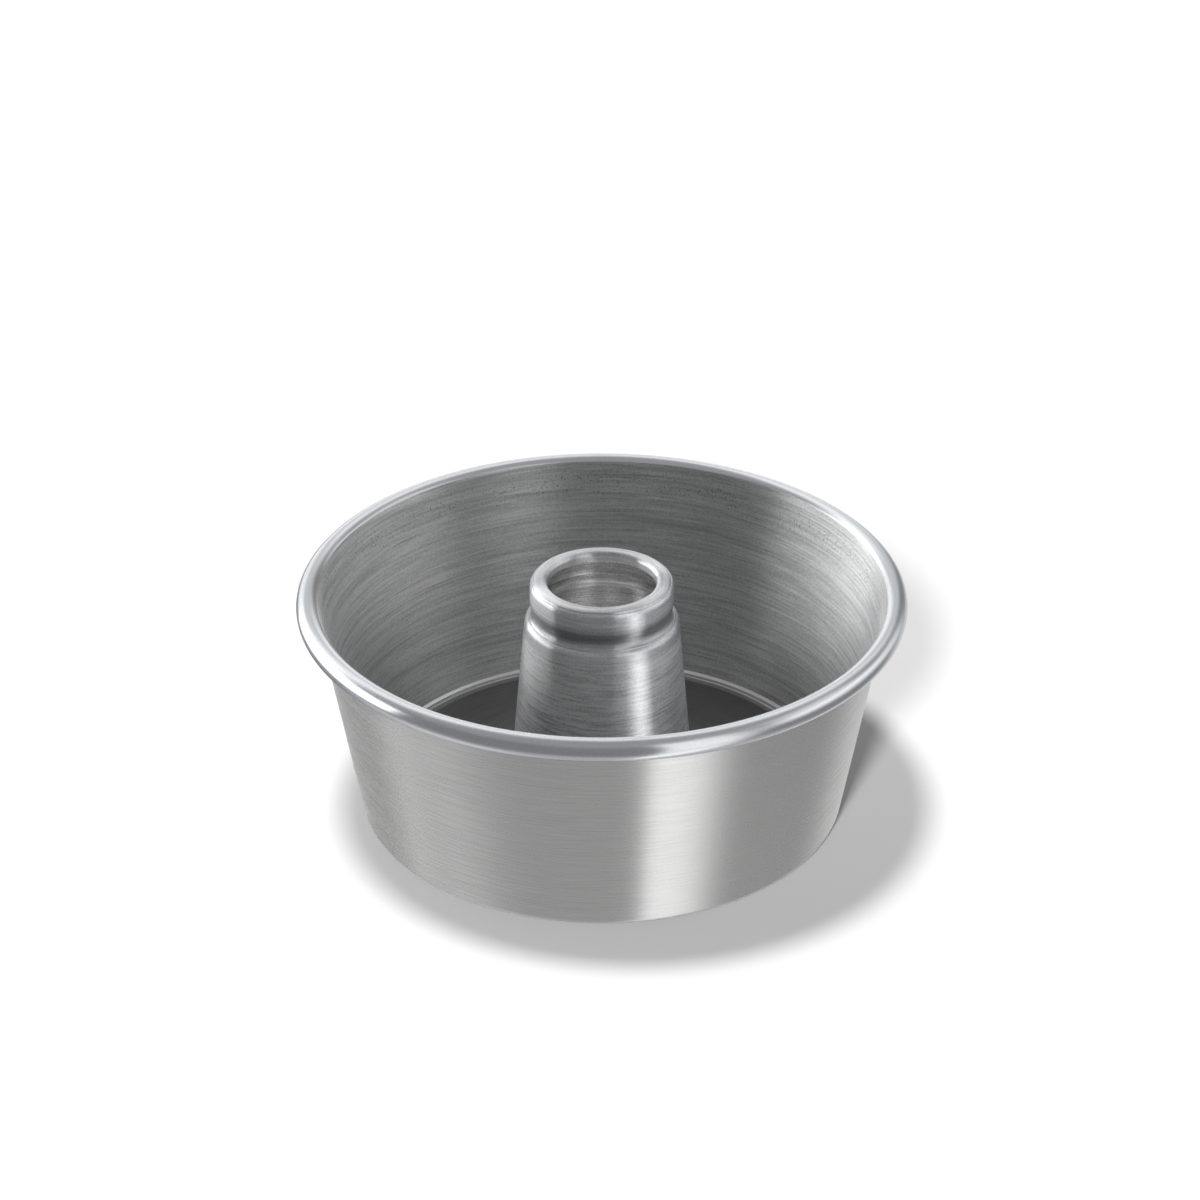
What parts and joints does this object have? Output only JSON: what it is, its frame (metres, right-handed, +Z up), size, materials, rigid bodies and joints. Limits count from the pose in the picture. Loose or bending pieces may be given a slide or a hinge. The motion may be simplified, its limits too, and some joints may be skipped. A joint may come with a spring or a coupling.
{
  "type": "angel food cake pan",
  "caption": "Round tapered aluminium tube pan with a rolled rim, a loose base plate that rests on an inner ledge, and a central open tube that lifts out with the base.",
  "frame": {"origin": "on the table under the centre of the pan", "axes": "+Z up along the axis of the pan; X and Y lie in the table, and the pan is the same all round"},
  "size_m": [0.2, 0.2, 0.0808],
  "materials": {
    "shell_aluminium": "bare spun aluminium, fine brushing round the axis, rim burnished bright",
    "plate_aluminium": "bare spun aluminium, smooth, faint rings from the tool",
    "tube_aluminium": "bare spun aluminium, fine brushing round the axis, shoulder and lip burnished"
  },
  "bodies": {
    "shell": {"outer_shell": "shell_aluminium"},
    "insert": {"base_plate": "plate_aluminium", "centre_tube": "tube_aluminium"}
  },
  "joints": [
    {"name": "insert_lift", "type": "slide", "parent": "shell", "child": "insert", "axis": [0, 0, 1], "range_m": [0, 0.09]}
  ]
}
